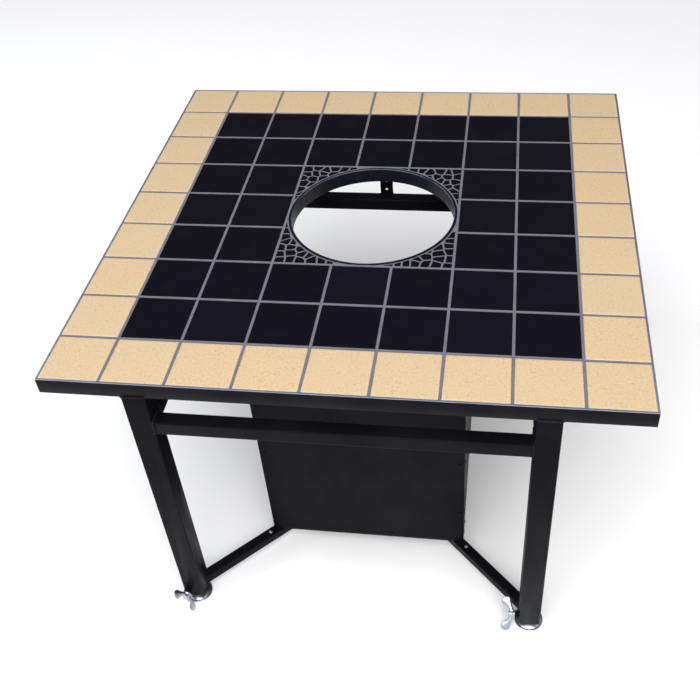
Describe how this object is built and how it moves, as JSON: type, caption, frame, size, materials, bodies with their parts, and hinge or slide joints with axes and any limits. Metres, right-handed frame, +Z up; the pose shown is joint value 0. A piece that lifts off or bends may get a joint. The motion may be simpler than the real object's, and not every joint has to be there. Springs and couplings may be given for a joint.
{
  "type": "hibachi grill table",
  "caption": "Low square tiled table with a round steel collar for a drop-in hibachi, a sheet-metal box below and levelling feet with wing-screw locks.",
  "frame": {"origin": "on the floor, under the middle of the table top", "axes": "+Z up, -Y towards the front, which is the side the box's closed panel faces, +X to the right seen from the front"},
  "size_m": [0.9144, 0.9756, 0.578],
  "materials": {
    "frame_paint": "semi-gloss black paint on mild steel tube",
    "sheet_paint": "semi-gloss black paint on sheet steel",
    "collar_paint": "black paint, worn bright on the upper edge",
    "beige_tile": "satin glazed ceramic, sand-coloured with fine mottling",
    "black_tile": "glossy black glazed ceramic",
    "grout": "grey cement grout",
    "cement_board": "raw cement backing board",
    "screw_steel": "bright steel",
    "zinc": "bright zinc plating",
    "plug_plastic": "black nylon"
  },
  "bodies": {
    "table": {"edge_front": "frame_paint", "edge_back": "frame_paint", "edge_left": "frame_paint", "edge_right": "frame_paint", "backing_board": "cement_board", "board_screws": "screw_steel", "grout_bed": "grout", "border_tiles": "beige_tile", "field_tiles": "black_tile", "mosaic_chips": "black_tile", "collar_ring": "collar_paint", "leg_front_left": "frame_paint", "leg_front_right": "frame_paint", "leg_back_left": "frame_paint", "leg_back_right": "frame_paint", "rail_front": "frame_paint", "rail_back": "frame_paint", "rail_left": "frame_paint", "rail_right": "frame_paint", "cross_bar_front": "frame_paint", "cross_bar_back": "frame_paint", "tab_front": "frame_paint", "tab_back": "frame_paint", "tab_screws": "screw_steel", "lower_bar_front": "frame_paint", "lower_bar_back": "frame_paint", "lower_bar_left": "frame_paint", "lower_bar_right": "frame_paint", "brace_front_left": "frame_paint", "brace_front_right": "frame_paint", "brace_back_left": "frame_paint", "brace_back_right": "frame_paint", "brace_plugs": "plug_plastic", "brace_rivets": "screw_steel", "box_front_panel": "sheet_paint", "box_left_panel": "sheet_paint", "box_right_panel": "sheet_paint", "box_corner_angles": "frame_paint", "box_hangers": "frame_paint", "box_rivets": "frame_paint", "plug_front_left": "plug_plastic", "plug_front_right": "plug_plastic", "plug_back_left": "plug_plastic", "plug_back_right": "plug_plastic", "lock_nuts": "frame_paint"},
    "foot_front_left": {"pad_front_left": "zinc", "stem_front_left": "zinc"},
    "lock_front_left": {"wing_screw_front_left": "zinc"},
    "foot_front_right": {"pad_front_right": "zinc", "stem_front_right": "zinc"},
    "lock_front_right": {"wing_screw_front_right": "zinc"},
    "foot_back_left": {"pad_back_left": "zinc", "stem_back_left": "zinc"},
    "lock_back_left": {"wing_screw_back_left": "zinc"},
    "foot_back_right": {"pad_back_right": "zinc", "stem_back_right": "zinc"},
    "lock_back_right": {"wing_screw_back_right": "zinc"}
  },
  "joints": [
    {"name": "foot_slide_front_left", "type": "slide", "parent": "table", "child": "foot_front_left", "axis": [0, 0, -1], "range_m": [0, 0.02]},
    {"name": "lock_turn_front_left", "type": "hinge", "parent": "table", "child": "lock_front_left", "pos_m": [-0.32095, -0.43815, 0.031], "axis": [0, -1, 0], "continuous": true},
    {"name": "foot_slide_front_right", "type": "slide", "parent": "table", "child": "foot_front_right", "axis": [0, 0, -1], "range_m": [0, 0.02]},
    {"name": "lock_turn_front_right", "type": "hinge", "parent": "table", "child": "lock_front_right", "pos_m": [0.30995, -0.44915, 0.031], "axis": [-1, 0, 0], "continuous": true},
    {"name": "foot_slide_back_left", "type": "slide", "parent": "table", "child": "foot_back_left", "axis": [0, 0, -1], "range_m": [0, 0.02]},
    {"name": "lock_turn_back_left", "type": "hinge", "parent": "table", "child": "lock_back_left", "pos_m": [-0.32095, 0.43815, 0.031], "axis": [0, 1, 0], "continuous": true},
    {"name": "foot_slide_back_right", "type": "slide", "parent": "table", "child": "foot_back_right", "axis": [0, 0, -1], "range_m": [0, 0.02]},
    {"name": "lock_turn_back_right", "type": "hinge", "parent": "table", "child": "lock_back_right", "pos_m": [0.30995, 0.44915, 0.031], "axis": [-1, 0, 0], "continuous": true}
  ]
}
